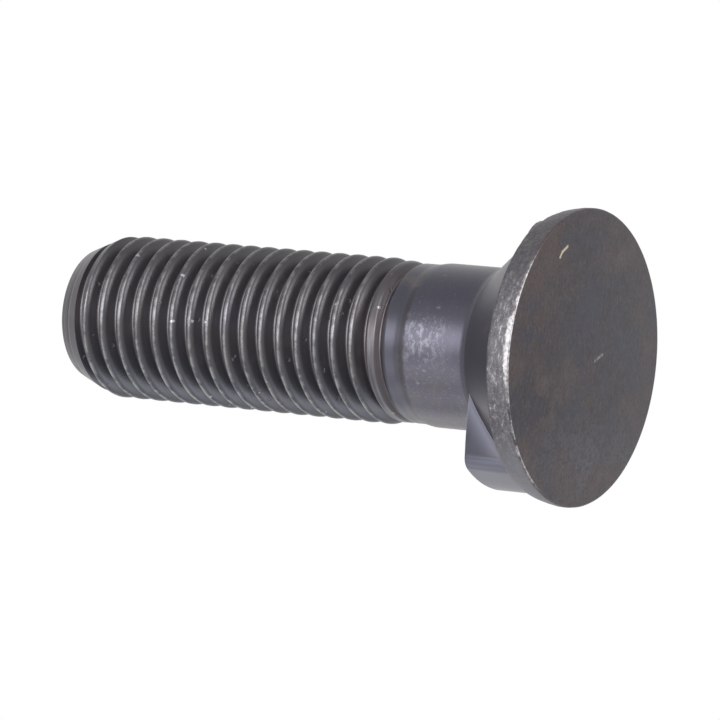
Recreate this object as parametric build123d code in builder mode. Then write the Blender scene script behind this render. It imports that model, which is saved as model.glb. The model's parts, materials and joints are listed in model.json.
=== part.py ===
"""Plow bolt, 7/8-9 UNC by 3 in: flat round countersunk head with two keys, plain shank, rolled thread.

The bolt is one piece of steel. Its origin is the centre of the flat head face, and +Z runs along the
shank to the threaded end, so that it stands on its head. The keys point along +X and -X.
Lengths are in millimetres and angles in degrees.
"""

import os
from math import radians, tan

from build123d import *

INCH = 25.4

# Whole bolt, from the head face to the threaded end
overall_length = 76.6

# Head: a rim, a narrow ledge behind it, then a cone down to the shank
head_radius = 19.5
rim_height = 3.4
rim_bevel = 0.3
cone_rim_radius = 18.15
cone_half_angle = 41
foot_fillet = 1.0

# Keys: two flat-ended lugs on the cone, each standing to one side of the axis, the second a half turn
# from the first. The corner over the axis plane is crisp on the first and forged well round on the second.
key_radius = 18.2
key_side = 10.3
key_height = 10.75
key_inner_corners = (1.5, 4.5)
key_outer_corner = 2.2

# Shank, and the slightly narrower neck that the thread runs out on
shank_radius = 10.84
shank_end = 20.95
neck_radius = 10.55
neck_start = 22.6
neck_end = 24.0
root_start = 26.2

# Thread: right hand, 60 degrees, with an eighth of the pitch flat at the crest and a quarter at the root
thread_pitch = INCH / 9
thread_radius = 11.0
root_radius = 9.35
crest_share = 1 / 8
root_share = 1 / 4
thread_start = 28.48
full_turns = 15

# Where the ridge sinks away: into the neck at one end and into the point at the other
run_out_length = 3.0
run_out_angle = 11
run_in_length = 4.6
run_in_angle = 20

# Point: the cone that enters the nut
point_radius = 8.8
point_angle = 23

# Worked out from the sizes above
cone_foot = rim_height + (cone_rim_radius - shank_radius) / tan(radians(cone_half_angle))
thread_end = thread_start + full_turns * thread_pitch
thread_depth = thread_radius - root_radius
crest_half = thread_pitch * crest_share / 2
root_half = thread_pitch * (1 - root_share) / 2
flank_slope = (root_half - crest_half) / thread_depth
point_slope = tan(radians(point_angle))
point_start = overall_length - (thread_radius - point_radius) / point_slope

# The ridge is sunk this far below the root, so that it joins the core along its whole length
ridge_sink = 0.2

# The tool that cuts the point reaches this far outside the bolt
cut_reach = 2.0

# Thread ridge: one profile swept along each full turn, then along a closing helix at either end
with BuildPart() as ridge:
    for foot, rise, direction, taper in (
        *((thread_start + turn * thread_pitch, thread_pitch, 1, 0) for turn in range(full_turns)),
        (thread_end, run_in_length, 1, -run_in_angle),
        (thread_start, run_out_length, -1, -run_out_angle),
    ):
        with BuildLine() as path:
            Helix(thread_pitch, rise, root_radius, (0, 0, foot), (0, 0, direction), cone_angle=taper)
        # A helix that points down starts on -X, so it is turned round to meet the others on +X
        coil = path.line.edge().rotate(Axis.Z, 90 - 90 * direction)
        with BuildSketch(Plane((root_radius, 0, foot), x_dir=(1, 0, 0), z_dir=(0, 1, 0))):
            with BuildLine():
                Polyline(
                    (-ridge_sink, -root_half - flank_slope * ridge_sink),
                    (thread_depth, -crest_half),
                    (thread_depth, crest_half),
                    (-ridge_sink, root_half + flank_slope * ridge_sink),
                    close=True,
                )
            make_face()
        sweep(path=coil, is_frenet=True)

# Core of the thread. Its profile stands on YZ, which keeps its seam away from the ends of the ridge.
with BuildPart() as core:
    with BuildSketch(Plane.YZ):
        with Locations((root_radius / 2, (neck_start + overall_length) / 2)):
            Rectangle(root_radius, overall_length - neck_start)
    revolve(axis=Axis.Z)
    add(ridge.part)

# Head cone, shank and neck, turned in one piece
with BuildPart() as body:
    with BuildSketch(Plane.YZ):
        with BuildLine():
            Polyline(
                (0, 0),
                (head_radius - rim_bevel, 0),
                (head_radius, rim_bevel),
                (head_radius, rim_height - rim_bevel),
                (head_radius - rim_bevel, rim_height),
                (cone_rim_radius, rim_height),
                (shank_radius, cone_foot),
                (shank_radius, shank_end),
                (neck_radius, neck_start),
                (neck_radius, neck_end),
                (root_radius - ridge_sink, root_start),
                (0, root_start),
                close=True,
            )
        make_face()
    revolve(axis=Axis.Z)
    foot_edge = body.edges().filter_by_position(Axis.Z, cone_foot - rim_bevel, cone_foot + rim_bevel)
    fillet(foot_edge, foot_fillet)

# Keys: half-width bars cut round at their outer ends, running up from inside the rim
with BuildPart() as keys:
    for turn, inner_corner in zip((0, 180), key_inner_corners):
        with BuildSketch(Plane.XY.offset(rim_height / 2).rotated((0, 0, turn))):
            Circle(key_radius)
            with Locations((key_radius / 2, key_side / 2)):
                Rectangle(key_radius, key_side, mode=Mode.INTERSECT)
            fillet(vertices().sort_by(Axis.X)[-1], inner_corner)
            side_corners = vertices().filter_by_position(Axis.Y, key_side, key_side)
            fillet(side_corners.sort_by(Axis.X)[-1], key_outer_corner)
        extrude(amount=key_height - rim_height / 2)

with BuildPart() as plow_bolt:
    add(core.part)
    add(body.part)
    add(keys.part)
    # The point is cut last, through the core and the end of the ridge together
    with BuildSketch(Plane.YZ):
        with BuildLine():
            Polyline(
                (point_radius, overall_length),
                (thread_radius, point_start),
                (thread_radius + cut_reach, point_start - cut_reach / point_slope),
                (thread_radius + cut_reach, overall_length + cut_reach),
                (point_radius, overall_length + cut_reach),
                close=True,
            )
        make_face()
    revolve(axis=Axis.Z, mode=Mode.SUBTRACT)

os.makedirs("parts", exist_ok=True)
plow_bolt.part.label = "plow_bolt"
export_step(plow_bolt.part, "parts/plow_bolt.step")
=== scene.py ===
import json
import math

import bpy
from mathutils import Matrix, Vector

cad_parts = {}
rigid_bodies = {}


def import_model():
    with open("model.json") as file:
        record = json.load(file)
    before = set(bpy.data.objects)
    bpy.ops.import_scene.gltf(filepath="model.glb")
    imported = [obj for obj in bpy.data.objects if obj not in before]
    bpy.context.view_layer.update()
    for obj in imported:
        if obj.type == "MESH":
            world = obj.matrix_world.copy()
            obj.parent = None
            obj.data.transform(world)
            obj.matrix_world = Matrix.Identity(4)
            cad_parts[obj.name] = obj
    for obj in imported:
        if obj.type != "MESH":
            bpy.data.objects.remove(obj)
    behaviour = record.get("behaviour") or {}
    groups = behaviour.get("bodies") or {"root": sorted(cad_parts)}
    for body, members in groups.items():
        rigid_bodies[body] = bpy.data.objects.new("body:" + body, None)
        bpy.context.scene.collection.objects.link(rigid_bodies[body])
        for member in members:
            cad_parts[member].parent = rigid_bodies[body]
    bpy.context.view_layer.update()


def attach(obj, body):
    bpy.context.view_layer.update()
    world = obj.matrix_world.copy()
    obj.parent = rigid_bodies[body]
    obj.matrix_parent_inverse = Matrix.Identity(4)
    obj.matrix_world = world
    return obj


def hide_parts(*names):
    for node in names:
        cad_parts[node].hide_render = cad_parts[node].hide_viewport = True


bpy.ops.object.select_all(action="SELECT")
bpy.ops.object.delete()
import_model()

# ---- Head, cone, shank and neck ----
# One forging: a flat round face with a trimmed rim, a cone that sinks into the part it holds, and a plain
# shank that narrows to the neck the thread is rolled up to. Turned here as one open skin, face down.

# Places closer than near count as one place, and round shapes have this many steps around
mm = 0.001
near = 0.01 * mm
around = 240

face_radius = 19.5 * mm
face_edge = 0.32 * mm
rim_height = 3.4 * mm
rim_steps = 6
back_edge = 0.45 * mm
cone_rim_radius = 18.15 * mm
cone_foot = 11.85 * mm
cone_foot_round = 0.7 * mm
shank_radius = 10.84 * mm
shank_end = 20.95 * mm
shank_steps = 4
neck_radius = 10.55 * mm
neck_start = 22.6 * mm
neck_end = 22.85 * mm
neck_round = 0.25 * mm

ledge_margin = 0.1 * mm
trim_radius = 18.8 * mm
trim_curve = 2.5
trim_half_angle = math.radians(38)
scale_depth = 0.16 * mm
scale_grain = 1.6 * mm
scale_rise = 4


def edit(piece, mode):
    """Opens one piece in edit mode with nothing selected in it."""
    bpy.ops.object.select_all(action="DESELECT")
    piece.select_set(True)
    bpy.context.view_layer.objects.active = piece
    bpy.ops.object.mode_set(mode="EDIT")
    bpy.ops.mesh.select_mode(type=mode)
    bpy.ops.mesh.select_all(action="DESELECT")


def done():
    """Closes the piece that is open in edit mode."""
    bpy.ops.object.mode_set(mode="OBJECT")


def pick(piece, kind, wanted):
    """Selects, in the open piece, only the vertices or edges that are wanted."""
    bpy.ops.mesh.select_all(action="DESELECT")
    done()
    for part in getattr(piece.data, kind):
        part.select = wanted(part)
    bpy.ops.object.mode_set(mode="EDIT")


def on_ring(piece, radius, height):
    """Makes the test of whether an edge lies along the ring of this radius at this height."""
    points = piece.data.vertices
    return lambda edge: all(
        abs(points[n].co.z - height) < near and abs(points[n].co.xy.length - radius) < near
        for n in edge.vertices)


def round_off(width, steps, affect="EDGES"):
    """Rounds the corners that are selected in the open piece."""
    bpy.ops.mesh.bevel(offset=width, segments=steps, profile=0.5, affect=affect)


def carry_up(stations):
    """Extrudes the open ring that is selected to each (radius, height) in turn."""
    for (from_radius, from_height), (radius, height) in zip(stations, stations[1:]):
        bpy.ops.mesh.extrude_region_move(TRANSFORM_OT_translate={"value": (0, 0, height - from_height)})
        size = radius / from_radius
        bpy.ops.transform.resize(value=(size, size, 1), center_override=(0, 0, height))


def weigh(piece, name, share):
    """Makes a piece the active one and gives it a vertex group whose weight at each place is that share."""
    bpy.context.view_layer.objects.active = piece
    group = piece.vertex_groups.new(name=name)
    for vertex in piece.data.vertices:
        group.add([vertex.index], min(max(share(vertex.co), 0), 1), "REPLACE")
    return name


def pull_round(piece, name, radius, share):
    """Pulls each place on a piece by that share of the way to a cylinder round Z."""
    cast = piece.modifiers.new(name, "CAST")
    cast.cast_type, cast.factor, cast.use_z = "CYLINDER", 1, False
    cast.use_radius_as_size, cast.size, cast.vertex_group = False, radius, weigh(piece, name, share)
    bpy.ops.object.modifier_apply(modifier=name)


def push(piece, name, amount, texture, share):
    """Moves each place on a piece in or out, as far as a texture says."""
    shift = piece.modifiers.new(name, "DISPLACE")
    shift.strength, shift.texture, shift.texture_coords = amount, texture, "LOCAL"
    shift.vertex_group = weigh(piece, name, share)
    bpy.ops.object.modifier_apply(modifier=name)


bpy.ops.mesh.primitive_circle_add(
    vertices=around, radius=face_radius, fill_type="TRIFAN", location=(0, 0, 0))
bolt = bpy.context.object
bolt.name = bolt.data.name = "bolt"
edit(bolt, "EDGE")
bpy.ops.mesh.select_all(action="SELECT")
bpy.ops.mesh.flip_normals()
pick(bolt, "edges", on_ring(bolt, face_radius, 0))
shank_length = shank_end - cone_foot
carry_up([
    *((face_radius, rim_height * k / rim_steps) for k in range(rim_steps + 1)),
    (cone_rim_radius, rim_height),
    *((shank_radius, cone_foot + shank_length * k / shank_steps) for k in range(shank_steps + 1)),
    (neck_radius, neck_start),
    (neck_radius, neck_end),
])
for radius, height, width, steps in (
    (face_radius, 0, face_edge, 4),
    (face_radius, rim_height, back_edge, 4),
    (shank_radius, cone_foot, cone_foot_round, 5),
    (shank_radius, shank_end, neck_round, 2),
    (neck_radius, neck_start, neck_round, 2),
):
    pick(bolt, "edges", on_ring(bolt, radius, height))
    round_off(width, steps)
done()


def on_rim(place):
    """Goes from 0 at the face to 1 at the back of the rim, and is 0 inside the ledge behind it."""
    outside = place.z < rim_height + near and place.xy.length > cone_rim_radius + ledge_margin
    return place.z / rim_height if outside else 0


def beside_key(place):
    """Goes from 0 where the trimmed part of the rim ends to 1 in the middle of each key."""
    limit = math.cos(trim_half_angle)
    share = (abs(place.x) / max(place.xy.length, mm) - limit) / (1 - limit)
    return min(max(share, 0), 1)


# The back of the rim is trimmed in beside each key, and forging scale leaves the rim a little uneven
pull_round(bolt, "trimmed", trim_radius, lambda place: on_rim(place) ** trim_curve * beside_key(place))
scale = bpy.data.textures.new("forging scale", "CLOUDS")
scale.noise_scale, scale.noise_depth = scale_grain, 2
push(bolt, "scale", scale_depth, scale, lambda place: scale_rise * on_rim(place))

# ---- Thread ----
# A 7/8-9 right-hand thread, rolled into the blank: crests and roots are rounded, the last turn fades into
# the neck, and the first turns are cut off by the cone of the point.

inch_in_mm = 25.4
turns_an_inch = 9
pitch = inch_in_mm / turns_an_inch * mm
turns = 21
turns_below = 2
steps_a_turn = 120
crest_radius = 11.0 * mm
root_radius = 9.35 * mm
flank_lean = math.radians(28.1)
crest_round = 0.58 * mm
round_steps = 7
crest_height = 25.66 * mm
crest_fade = (28.4 * mm, 26 * mm)
root_fade = (26.2 * mm, 24 * mm)
thread_foot = 23.05 * mm
overall_length = 76.6 * mm
seam = 0.001 * mm

crest_tip = crest_radius + crest_round * (1 / math.sin(flank_lean) - 1)
root_tip = crest_tip - pitch / 2 / math.tan(flank_lean)
middle = (crest_tip + root_tip) / 2
profile_start = crest_height - (turns_below + 1 / 4) * pitch

# The profile is one pitch of sharp V, from mid-flank to mid-flank, with its two corners then rounded
bpy.ops.mesh.primitive_plane_add(size=mm, location=(0, 0, 0))
thread = bpy.context.object
thread.name = thread.data.name = "thread"
edit(thread, "VERT")
bpy.ops.mesh.select_all(action="SELECT")
bpy.ops.mesh.merge(type="CENTER")
bpy.ops.transform.translate(value=(middle, 0, profile_start))
for rise, run in (
    (crest_tip - middle, pitch / 4),
    (root_tip - crest_tip, pitch / 2),
    (middle - root_tip, pitch / 4),
):
    bpy.ops.mesh.extrude_region_move(TRANSFORM_OT_translate={"value": (rise, 0, run)})
# A bevel of this many times the reach of the tip leaves a round that ends at the crest or root radius
bevel_share = 1.684 / math.cos(flank_lean)
for tip, reach in ((crest_tip, crest_tip - crest_radius), (root_tip, root_radius - root_tip)):
    pick(thread, "vertices", lambda vertex: abs(vertex.co.x - tip) < near)
    round_off(reach * bevel_share, round_steps, "VERTICES")
done()
screw = thread.modifiers.new("turns", "SCREW")
screw.axis, screw.angle, screw.screw_offset, screw.iterations = "Z", math.tau, pitch, turns
screw.steps = screw.render_steps = steps_a_turn
bpy.ops.object.modifier_apply(modifier="turns")


def saw_off(place, facing, use_fill):
    """Cuts the open piece at a plane and throws away the side that the plane faces."""
    bpy.ops.mesh.select_all(action="SELECT")
    bpy.ops.mesh.bisect(
        plane_co=place, plane_no=facing, clear_outer=True, use_fill=use_fill, threshold=0.1 * seam)


def faded(height, start, end):
    """Goes from 0 to 1 as the height comes down from the start of a fade to its end."""
    return min(max((start - height) / (start - end), 0), 1)


def run_out(place):
    """Says how far a place has come to the neck. Crests come down to it before the roots fill up to it."""
    crest_part = (place.xy.length - root_radius) / (crest_radius - root_radius)
    return crest_part * faded(place.z, *crest_fade) + (1 - crest_part) * faded(place.z, *root_fade)


pull_round(thread, "run-out", neck_radius, run_out)
edit(thread, "VERT")
bpy.ops.mesh.select_all(action="SELECT")
bpy.ops.mesh.remove_doubles(threshold=seam)
saw_off((0, 0, thread_foot), (0, 0, -1), use_fill=False)
saw_off((0, 0, overall_length), (0, 0, 1), use_fill=True)
done()

# The thread's open ring is bridged to the neck's, which makes one skin of the two
bpy.ops.object.select_all(action="DESELECT")
thread.select_set(True)
bolt.select_set(True)
bpy.context.view_layer.objects.active = bolt
bpy.ops.object.join()
edit(bolt, "EDGE")
bpy.ops.mesh.select_non_manifold(
    use_wire=False, use_multi_face=False, use_non_contiguous=False, use_verts=False)
bpy.ops.mesh.bridge_edge_loops()
bpy.ops.mesh.select_all(action="SELECT")
bpy.ops.mesh.normals_make_consistent(inside=False)
done()

# ---- Keys ----
# Two lugs forged with the cone that stop the bolt turning in its notched hole. Each has a flat end, a flat
# outer side and a round back, and stands to one side of the axis; the second is a half turn from the first.

key_radius = 18.2 * mm
key_side = 10.3 * mm
key_height = 10.75 * mm
key_foot = 1.7 * mm
key_end_round = 0.3 * mm

# A rounded corner is a radius, the lean of its first cut, and a number of cuts, each cut_turn degrees on
key_inner_corners = ((1.5 * mm, -78, 7), (4.5 * mm, -78, 8))
key_outer_corner = (2.2 * mm, 38, 5)
cut_turn = 12


def round_corner(side, radius, first_lean, cuts):
    """Rounds the open key's corner at one side by cuts that follow a circle inside its round back."""
    middle_y = abs(side - radius)
    middle = Vector((math.sqrt((key_radius - radius) ** 2 - middle_y ** 2), middle_y, 0))
    for n in range(cuts):
        lean = math.radians(first_lean + n * cut_turn)
        facing = Vector((math.cos(lean), math.sin(lean), 0))
        saw_off(middle + facing * radius, facing, use_fill=True)


def cut(piece, tool, operation):
    """Joins a piece to a tool, or keeps what they share, and throws the tool away."""
    bpy.context.view_layer.objects.active = piece
    boolean = piece.modifiers.new(operation, "BOOLEAN")
    boolean.operation, boolean.solver, boolean.object = operation, "EXACT", tool
    bpy.ops.object.modifier_apply(modifier=operation)
    bpy.data.objects.remove(tool)


for turn, inner_corner in zip((0, math.pi), key_inner_corners):
    bpy.ops.mesh.primitive_cylinder_add(
        vertices=around, radius=key_radius, depth=key_height - key_foot,
        location=(0, 0, (key_height + key_foot) / 2))
    key = bpy.context.object
    bpy.ops.object.transform_apply(location=True)
    edit(key, "VERT")
    for place, facing in (
        ((0, key_side, 0), (0, 1, 0)),
        ((0, 0, 0), (0, -1, 0)),
        ((0, 0, 0), (-1, 0, 0)),
    ):
        saw_off(place, facing, use_fill=True)
    round_corner(0, *inner_corner)
    round_corner(key_side, *key_outer_corner)
    bpy.ops.mesh.select_mode(type="EDGE")
    points = key.data.vertices
    pick(key, "edges", lambda edge: all(
        points[n].co.z > key_height - near and points[n].co.x > near for n in edge.vertices))
    round_off(key_end_round, 3)
    if turn:
        bpy.ops.mesh.select_all(action="SELECT")
        bpy.ops.transform.rotate(value=turn, orient_axis="Z", center_override=(0, 0, 0))
    done()
    cut(bolt, key, "UNION")

# ---- Point ----
# The cone that enters the nut, turned on the end after the thread was rolled. A blank with a coned end is
# laid over the bolt, and only what both share is kept.

point_radius = 8.8 * mm
point_slope = math.tan(math.radians(23))
point_round = 0.3 * mm
blank_radius = 25 * mm
blank_start = -5 * mm
smooth_angle = math.radians(32)

bpy.ops.mesh.primitive_circle_add(
    vertices=around, radius=blank_radius, fill_type="NGON", location=(0, 0, blank_start))
blank = bpy.context.object
bpy.ops.object.transform_apply(location=True)
edit(blank, "EDGE")
bpy.ops.mesh.select_all(action="SELECT")
carry_up([
    (blank_radius, blank_start),
    (blank_radius, overall_length - (blank_radius - point_radius) / point_slope),
    (point_radius, overall_length),
])
bpy.ops.mesh.edge_face_add()
pick(blank, "edges", on_ring(blank, point_radius, overall_length))
round_off(point_round, 3)
bpy.ops.mesh.select_all(action="SELECT")
bpy.ops.mesh.normals_make_consistent(inside=False)
done()

cut(bolt, blank, "INTERSECT")

bpy.context.view_layer.objects.active = bolt
bolt.select_set(True)
bpy.ops.object.shade_smooth_by_angle(angle=smooth_angle)
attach(bolt, "root")
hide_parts("plow_bolt")

# ---- Steel ----
# Hardened steel with a thin dark oxide from the heat treatment. It has a scraped burr along one side of the
# rim, wear on the shank and the thread's crests, and turning on the point, and painted highlights on one side
# of the rim, the burr and the shank. Patterns are in millimetres.


class Value:
    """One socket of a material's nodes, on which sums and further nodes are written as expressions."""

    def __init__(self, socket):
        self.socket = socket

    def node(self, kind, settings, inputs, output=0):
        """Adds a node: its settings are made first, then its sockets get their values or links."""
        tree = self.socket.id_data
        made = tree.nodes.new(kind)
        for name, value in settings.items():
            setattr(made, name, value)
        for name, value in inputs.items():
            if isinstance(value, Value):
                tree.links.new(value.socket, made.inputs[name])
            else:
                made.inputs[name].default_value = value
        return Value(made.outputs[output])

    def sum(self, operation, first, second):
        """Adds a node that does one sum on two numbers, each a Value or a plain one."""
        return self.node("ShaderNodeMath", {"operation": operation}, {0: first, 1: second})

    def __add__(self, other):
        return self.sum("ADD", self, other)

    def __sub__(self, other):
        return self.sum("SUBTRACT", self, other)

    def __rsub__(self, other):
        return self.sum("SUBTRACT", other, self)

    def __mul__(self, other):
        return self.sum("MULTIPLY", self, other)

    __radd__, __rmul__ = __add__, __mul__

    def rise(self, low, high):
        """Goes smoothly from 0 at low to 1 at high, whichever of them is the larger."""
        return self.node("ShaderNodeMapRange", {"interpolation_type": "SMOOTHSTEP"}, {
            "Value": self, "From Min": low, "From Max": high})

    def vector(self, operation, other, output=0):
        """Does one sum on this place and another. Output 1 is for the sums that give a single number."""
        return self.node("ShaderNodeVectorMath", {"operation": operation}, {0: self, 1: other}, output)

    def length(self):
        """How far this place is from the origin."""
        return self.node("ShaderNodeVectorMath", {"operation": "LENGTH"}, {0: self}, output=1)

    def noise(self, size, detail=3.0, roughness=0.6):
        """A cloudy pattern about this place, with spots about this many millimetres across."""
        return self.node("ShaderNodeTexNoise", {}, {
            "Vector": self, "Scale": 1 / size, "Detail": detail, "Roughness": roughness})

    def lines(self, scale):
        """A pattern that changes along this one measure only, as tool marks do."""
        return self.node("ShaderNodeTexNoise", {"noise_dimensions": "1D"}, {
            "W": self, "Scale": scale, "Detail": 3.0, "Roughness": 0.7})

    def stroke(self, start, end, width):
        """A scratch from one place to another: 1 along its middle and 0 beyond its width."""
        along = Vector(end) - Vector(start)
        gone = self.vector("SUBTRACT", start)
        passed = gone.vector("DOT_PRODUCT", along / along.length_squared, output=1)
        share = passed.node("ShaderNodeClamp", {}, {"Value": passed})
        nearest = share.node("ShaderNodeVectorMath", {"operation": "SCALE"}, {0: along, "Scale": share})
        return gone.vector("DISTANCE", nearest, output=1).rise(width, 0.35 * width)


steel = bpy.data.materials.new("dark steel")
steel.use_nodes = True
shader = steel.node_tree.nodes["Principled BSDF"]
metres = Value(steel.node_tree.nodes.new("ShaderNodeTexCoord").outputs["Object"])
place = metres.vector("MULTIPLY", (1 / mm, 1 / mm, 1 / mm))
radius = place.vector("MULTIPLY", (1, 1, 0)).length()

# As the camera sees the face, X runs down it and Y across it, from right to left. Height is measured from it.
down, across, height = (place.node("ShaderNodeSeparateXYZ", {}, {0: place}, axis) for axis in range(3))

cloud = place.noise(9.0, 2.0)
stain = place.vector("ADD", (31.0, 7.0, 3.0)).noise(5.5, 4.0)
grain = place.noise(0.45, 4.0, 0.7)
flecks = place.vector("ADD", (5.0, 9.0, 2.0)).noise(0.32, 3.0, 0.75)
specks = flecks.rise(0.6, 0.72)
worn = place.vector("ADD", (2.0, 4.0, 8.0)).noise(1.4, 4.0, 0.65)
streaks = place.vector("MULTIPLY", (0.35, 1.0, 1.0)).noise(0.5, 4.0, 0.75)
lathe_lines = height.lines(3.0)
roll_lines = radius.lines(6.0)

# Each cell of this pattern may hold one nick, with a ragged outline, and few cells do
nick_cells = {"Vector": place.vector("MULTIPLY", (1.0, 1.0, 0.75)), "Scale": 0.5, "Randomness": 1.0}
nick_reach = place.node("ShaderNodeTexVoronoi", {}, nick_cells) + (flecks - 0.5) * 0.3
nick_chance = place.node("ShaderNodeTexVoronoi", {}, nick_cells, output=1).length()
nicks = nick_reach.rise(0.15, 0.07) * nick_chance.rise(0.88, 0.93)

# Each mask is 1 on one part and 0 off it, and says where the part begins and ends. First come parts of the
# head: its rim has a painted highlight on one side, and a burr along the edge, widest in the middle, that
# also carries a painted highlight.
face = height.rise(0.3, 0.12)
face_shade = face * across.rise(3, 12) * down.rise(-9, -2) * down.rise(14, 7)
face_stain = face * across.rise(2, 14) * down.rise(8, -8)
rim = radius.rise(18.3, 18.6) * height.rise(3.9, 3.5) * (1 - face)
rim_highlight_side = down.rise(-12, -6) * down.rise(19, 9) * across.rise(4, 10)
burr_height = 0.1 + down.rise(-6, -3.5) * down.rise(6, 2) * 0.6
burr_and_highlight = (
    (height + (worn - 0.5) * 1.2 - burr_height).rise(0.2, -0.1)
    * radius.rise(19.2, 19.35) * across.rise(8, 12) * down.rise(-14, -10)
)
scratch_width = 0.26
scratch_bend = (-13.4, 8.15, 0)
face_scratch = (
    place.stroke((-12.7, 8.6, 0), scratch_bend, scratch_width)
    + place.stroke(scratch_bend, (-14.2, 6.9, 0), scratch_width)
)
centre_scratch = place.stroke((0.3, -2.65, 0), (-0.65, -4.6, 0), scratch_width) * flecks.rise(0.35, 0.55)

# Then parts behind the head. One patch of the shank that faces the camera carries a painted highlight.
under_head = height.rise(3.4, 3.8) * height.rise(24.6, 24.2)
keys_highlight = height.rise(3.6, 4.0) * height.rise(10.9, 10.8) * (radius + height * 0.87).rise(21.4, 21.8)
shank = height.rise(11.0, 12.5) * height.rise(21.5, 20.9)
shank_highlight = shank * height.rise(13, 17) * down.rise(-4.5, -2.5) * down.rise(4, 0) * across.rise(0, 4)
neck = height.rise(21.3, 21.9) * height.rise(24.5, 24.1)
# The bevel from the shank down to the neck, which is given painted shade
shaded_neck_bevel = height.rise(20.9, 21.1) * height.rise(22.0, 21.7)
thread_part = height.rise(24.6, 25.4)
first_flank = height.rise(24.4, 25.0) * height.rise(28.5, 27.0) * radius.rise(10.8, 10.3)
groove = thread_part * radius.rise(10.75, 10.0)
crest = thread_part * radius.rise(10.8, 11.0)
turned_end = height.rise(74.2, 74.5)

# Colour: each layer is laid over those before it, as far as its mask says
colour = (0.076, 0.074, 0.082, 1)
for mask, layer in (
    # A little clouded all over, bluer behind the head, paler and bluer on the keys with a painted highlight,
    # darker at the neck, and darker still on the bevel down to it with painted shade
    (cloud.rise(0.42, 0.62), (0.084, 0.079, 0.083)),
    (under_head, (0.069, 0.067, 0.086)),
    (neck, (0.060, 0.060, 0.076)),
    (shaded_neck_bevel * 0.7, (0.046, 0.041, 0.046)),
    (keys_highlight, (0.087, 0.088, 0.112)),
    # The face is paler towards the bottom, darker in a band of painted shade on its left side, stained brown
    # and blue, and streaked
    (face, (0.065, 0.061, 0.069)),
    (face * down.rise(5, 17) * 0.9, (0.112, 0.109, 0.124)),
    (face * worn.rise(0.53, 0.43) * 0.5, (0.050, 0.046, 0.052)),
    (face * cloud.rise(0.5, 0.38) * 0.6, (0.060, 0.063, 0.078)),
    (face * radius.rise(12, 18) * stain.rise(0.35, 0.5) * 0.5, (0.082, 0.069, 0.072)),
    (face_shade * 0.7, (0.052, 0.047, 0.054)),
    (face_stain * stain.rise(0.3, 0.55) * 0.8, (0.094, 0.068, 0.062)),
    (face * stain.rise(0.48, 0.6) * 0.7, (0.088, 0.069, 0.068)),
    (face * streaks.rise(0.48, 0.64) * 0.6, (0.092, 0.087, 0.095)),
    (face * grain.rise(0.52, 0.40) * 0.5, (0.042, 0.038, 0.044)),
    # Brown stains behind the face, and blue ones everywhere
    ((1 - face) * stain.rise(0.54, 0.7) * 0.5, (0.090, 0.074, 0.066)),
    (stain.rise(0.42, 0.3) * 0.5, (0.060, 0.062, 0.084)),
    # The shank is browner below, pale with a painted highlight on the patch that faces the camera, and dark
    # along its upper side with painted shade
    (shank * down.rise(1, 6) * worn.rise(0.4, 0.6) * 0.5, (0.084, 0.076, 0.078)),
    (shank * down.rise(0, 5) * flecks.rise(0.52, 0.66) * 0.25, (0.15, 0.145, 0.15)),
    (shank_highlight * worn.rise(0.52, 0.64) * 0.5, (0.18, 0.18, 0.205)),
    (shank_highlight * streaks.rise(0.48, 0.62) * 0.6, (0.16, 0.16, 0.19)),
    (shank * down.rise(-4.5, -6.5) * down.rise(-10, -8) * 0.7, (0.056, 0.055, 0.072)),
    # The thread is paler in its grooves, darker above with painted shade, bluer below with a painted
    # reflection, brown where it begins, with worn crests that carry a painted highlight towards the bottom
    (groove * radius.rise(9.1, 9.8) * 0.9, (0.112, 0.104, 0.115)),
    (thread_part * down.rise(-6.5, -9) * 0.7, (0.056, 0.053, 0.058)),
    (thread_part * down.rise(2, 9) * 0.6, (0.082, 0.090, 0.108)),
    (first_flank * 0.5, (0.064, 0.050, 0.054)),
    (first_flank * roll_lines.rise(0.52, 0.6) * 0.4, (0.13, 0.11, 0.115)),
    (crest * worn.rise(0.4, 0.6) * (0.6 + down.rise(2, 8) * 0.4), (0.19, 0.185, 0.19)),
    # The rim is streaked and flecked, and brightest on one side, where a painted highlight lies
    (rim * (0.4 + rim_highlight_side * height.rise(2.8, 1.0) * 0.6), (0.100, 0.096, 0.104)),
    (rim * streaks.rise(0.52, 0.40) * 0.6, (0.055, 0.050, 0.058)),
    (rim * streaks.rise(0.55, 0.68) * (0.25 + rim_highlight_side * 0.65), (0.25, 0.24, 0.26)),
    (rim * flecks.rise(0.56, 0.68) * (0.1 + rim_highlight_side * 0.35), (0.27, 0.26, 0.28)),
    (rim * down.rise(9, 15) * 0.7, (0.135, 0.133, 0.150)),
    # Bare metal: specks, brighter in the shank's painted highlight, the burr with its painted highlight,
    # nicks, turning lines and the two scratches on the face
    (face * specks * cloud.rise(0.45, 0.6) * 0.25, (0.2, 0.2, 0.2)),
    (shank * specks * (0.2 + shank_highlight * 0.4), (0.30, 0.30, 0.33)),
    (burr_and_highlight * (0.35 + grain.rise(0.35, 0.6) * 0.65), (0.40, 0.39, 0.40)),
    (nicks * (thread_part * radius.rise(10.2, 10.7) + shank * 0.2), (0.32, 0.32, 0.33)),
    (turned_end * lathe_lines.rise(0.47, 0.42) * 0.7, (0.050, 0.047, 0.052)),
    (turned_end * lathe_lines.rise(0.54, 0.6) * 0.7, (0.22, 0.21, 0.22)),
    (face_scratch, (0.46, 0.39, 0.29)),
    (centre_scratch * 0.8, (0.27, 0.26, 0.28)),
):
    colour = mask.node(
        "ShaderNodeMix", {"data_type": "RGBA"}, {0: mask, 6: colour, 7: (*layer, 1)}, output=2)

# Gloss: the rim and the face are duller than the rest, and heavy stains are less metallic
rough = 0.28 + grain * 0.08 + stain * 0.05 + rim * 0.14 + face * 0.1
metal = 0.92 - stain.rise(0.55, 0.75) * 0.2

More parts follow.
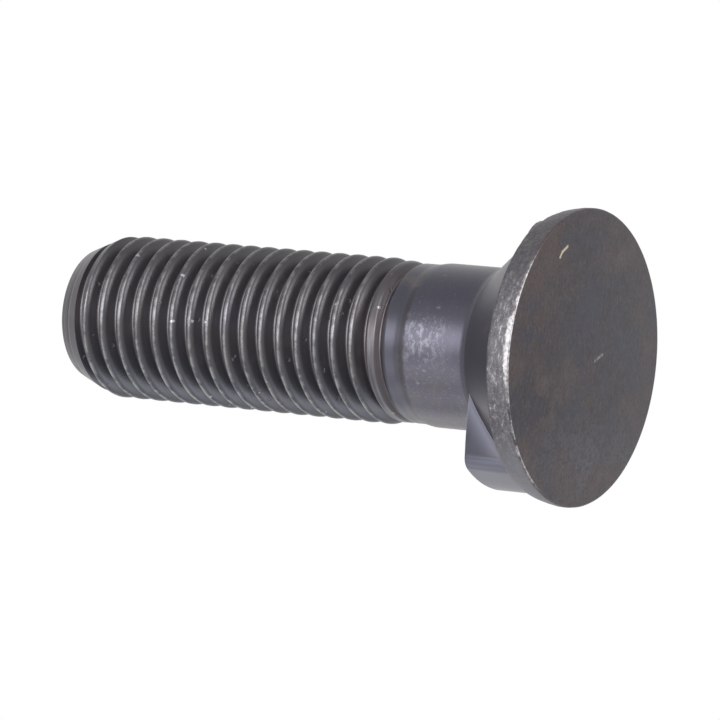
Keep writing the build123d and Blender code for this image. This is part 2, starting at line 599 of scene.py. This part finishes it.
# Relief, in millimetres: forging grain all over, dents on the shank, scale on the rim, and tool marks on
# the thread and the point, with the nicks and the longer scratch sunk in
relief = (
    (grain - 0.5) * 0.005
    + (worn - 0.5) * 0.022 * shank
    + (streaks - 0.5) * 0.05 * rim
    + (flecks - 0.5) * 0.04 * rim
    + (roll_lines - 0.5) * 0.01 * thread_part * (1 - turned_end)
    + (lathe_lines - 0.5) * 0.02 * turned_end
    - nicks * 0.06 * thread_part
    - face_scratch * 0.02
)
bump = relief.node("ShaderNodeBump", {}, {"Height": relief * mm, "Distance": 1.0, "Strength": 1.0})
for name, value in (("Base Color", colour), ("Roughness", rough), ("Metallic", metal), ("Normal", bump)):
    steel.node_tree.links.new(value.socket, shader.inputs[name])
bolt.data.materials.append(steel)

# ---- Floor, light and camera ----
# A pale table that the bolt stands on, seen through from below, with soft boxes round it and a white room.

table_size = 6
table_drop = 0.5 * mm
table_grey = 0.86

bpy.ops.mesh.primitive_plane_add(size=table_size, location=(0, 0, -table_drop))
floor = bpy.context.object
floor.name = "floor"
table_top = bpy.data.materials.new("pale table")
table_top.use_nodes = True
table_nodes = table_top.node_tree.nodes
table_paint = table_nodes["Principled BSDF"]
table_paint.inputs["Base Color"].default_value = (table_grey, table_grey, table_grey, 1)
table_paint.inputs["Roughness"].default_value = 0.7
underside = Value(table_nodes.new("ShaderNodeNewGeometry").outputs["Backfacing"])
seen_through = underside.node("ShaderNodeBsdfTransparent", {}, {})
table = underside.node("ShaderNodeMixShader", {}, {
    0: underside, 1: Value(table_paint.outputs[0]), 2: seen_through})
table_top.node_tree.links.new(table.socket, table_nodes["Material Output"].inputs["Surface"])
floor.data.materials.append(table_top)
floor.visible_diffuse = floor.visible_glossy = floor.visible_shadow = False

camera = bpy.data.objects.new("camera", bpy.data.cameras.new("camera"))
bpy.context.scene.collection.objects.link(camera)
camera.location = (-0.00581, 0.66577, -0.37842)
camera.rotation_euler = (math.radians(171.399), math.radians(57.815), math.radians(-99.379))
camera.data.lens = 295.2
camera.data.sensor_width = 36
camera.data.clip_start, camera.data.clip_end = 0.01, 20
bpy.context.scene.camera = camera
bpy.context.scene.view_settings.view_transform = "Standard"

# Each soft box is a round one, the same way off from the middle of the bolt, and faces it. Its direction is
# given as the camera sees it: to the right, up, and back towards the camera.
bolt_middle = Vector((0, 0, 0.038))
box_distance = 0.6
box_size = 0.3
for name, direction, power in (
    ("key", (-0.29, 0.27, 0.92), 1.9),
    ("left", (-0.84, 0.24, 0.48), 1.0),
    ("left, in front", (-0.65, -0.12, 0.75), 0.85),
    ("above", (-0.2, 0.74, 0.64), 0.9),
    ("right", (0.8, 0.29, 0.53), 1.7),
    ("low left", (-0.82, -0.48, 0.31), 0.42),
    ("low left, behind", (-0.63, -0.76, -0.14), 0.34),
    ("low right", (0.71, -0.71, -0.03), 0.34),
    ("low, behind", (-0.27, -0.76, -0.58), 0.22),
):
    data = bpy.data.lights.new(name, "AREA")
    data.shape, data.size, data.energy = "DISK", box_size, power
    light = bpy.data.objects.new(name, data)
    bpy.context.scene.collection.objects.link(light)
    outward = camera.rotation_euler.to_matrix() @ Vector(direction).normalized()
    light.location = bolt_middle + outward * box_distance
    light.rotation_euler = outward.to_track_quat("Z", "Y").to_euler()

# The room is white to the eye and in the steel, and dimmer as a light
room_as_light = 0.6
world = bpy.data.worlds.new("studio")
bpy.context.scene.world = world
world.use_nodes = True
room = world.node_tree
rays = room.nodes.new("ShaderNodeLightPath").outputs
seen = Value(rays["Is Camera Ray"]) + Value(rays["Is Glossy Ray"]) + Value(rays["Is Transmission Ray"])
strength = seen.node("ShaderNodeMapRange", {}, {"Value": seen, "To Min": room_as_light, "To Max": 1.0})
room.nodes["Background"].inputs["Color"].default_value = (1, 1, 1, 1)
room.links.new(strength.socket, room.nodes["Background"].inputs["Strength"])
